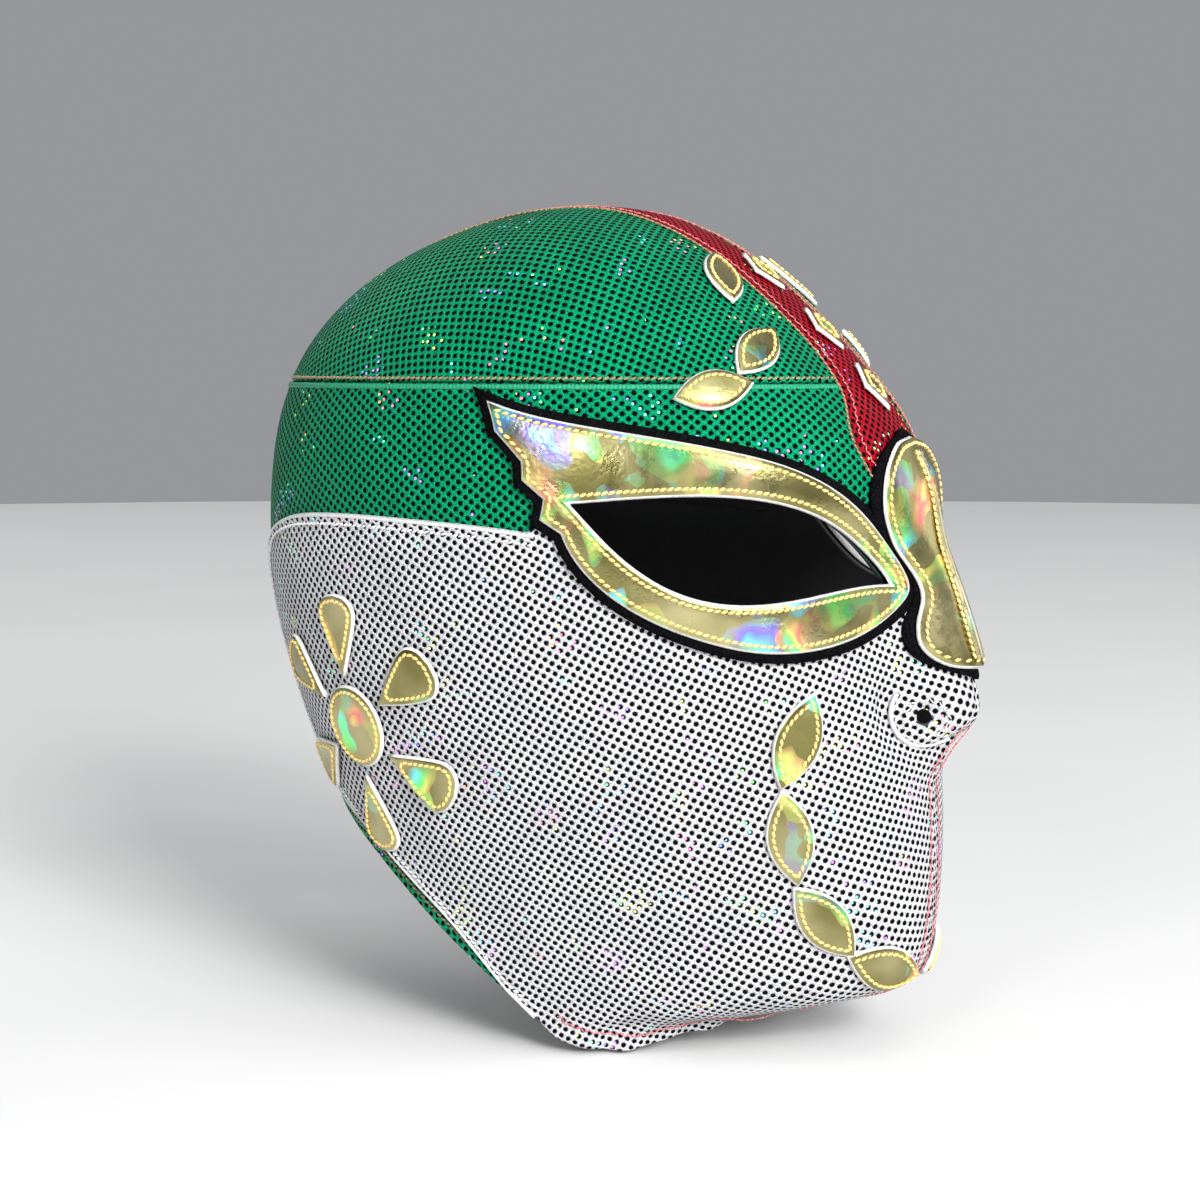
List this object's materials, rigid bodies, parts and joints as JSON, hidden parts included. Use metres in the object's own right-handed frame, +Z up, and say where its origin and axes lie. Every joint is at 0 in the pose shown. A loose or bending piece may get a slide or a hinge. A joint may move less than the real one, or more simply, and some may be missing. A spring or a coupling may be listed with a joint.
{
  "type": "wrestling hood",
  "caption": "Stretch mesh wrestling hood for a head, with open eyes in padded surrounds, a nose guard, breathing holes and sewn foil trim, open at the neck.",
  "frame": {"origin": "where the top of the wearer's head touches the inside of the crown", "axes": "+Z up along the head, -Y the way the face looks, +X towards the wearer's left"},
  "size_m": [0.1562, 0.2221, 0.2357],
  "materials": {
    "green_mesh": "glossy perforated stretch mesh with glitter",
    "white_mesh": "glossy perforated stretch mesh with glitter",
    "red_mesh": "glossy perforated stretch mesh with glitter",
    "black_felt": "matt felt",
    "gilt_foil": "gilt holographic foil vinyl over foam"
  },
  "bodies": {
    "root": {"centre_strip": "red_mesh", "crown_left": "green_mesh", "crown_right": "green_mesh", "side_left": "green_mesh", "side_right": "green_mesh", "face_left": "white_mesh", "face_right": "white_mesh", "back_placket": "green_mesh", "felt_nose": "black_felt", "felt_eye_left": "black_felt", "felt_eye_right": "black_felt", "eye_surround_left": "gilt_foil", "eye_surround_right": "gilt_foil", "nose_guard": "gilt_foil", "crest_leaf_left_1": "gilt_foil", "crest_leaf_right_1": "gilt_foil", "crest_leaf_left_2": "gilt_foil", "crest_leaf_right_2": "gilt_foil", "crest_leaf_left_3": "gilt_foil", "crest_leaf_right_3": "gilt_foil", "mouth_leaf_left_1": "gilt_foil", "mouth_leaf_right_1": "gilt_foil", "mouth_leaf_left_2": "gilt_foil", "mouth_leaf_right_2": "gilt_foil", "mouth_leaf_left_3": "gilt_foil", "mouth_leaf_right_3": "gilt_foil", "mouth_leaf_left_4": "gilt_foil", "mouth_leaf_right_4": "gilt_foil", "strip_lozenge_1": "gilt_foil", "strip_lozenge_2": "gilt_foil", "strip_lozenge_3": "gilt_foil", "rosette_disc_left": "gilt_foil", "rosette_disc_right": "gilt_foil", "rosette_petal_left_1": "gilt_foil", "rosette_petal_right_1": "gilt_foil", "rosette_petal_left_2": "gilt_foil", "rosette_petal_right_2": "gilt_foil", "rosette_petal_left_3": "gilt_foil", "rosette_petal_right_3": "gilt_foil", "rosette_petal_left_4": "gilt_foil", "rosette_petal_right_4": "gilt_foil", "rosette_petal_left_5": "gilt_foil", "rosette_petal_right_5": "gilt_foil", "rosette_petal_left_6": "gilt_foil", "rosette_petal_right_6": "gilt_foil"}
  },
  "joints": []
}
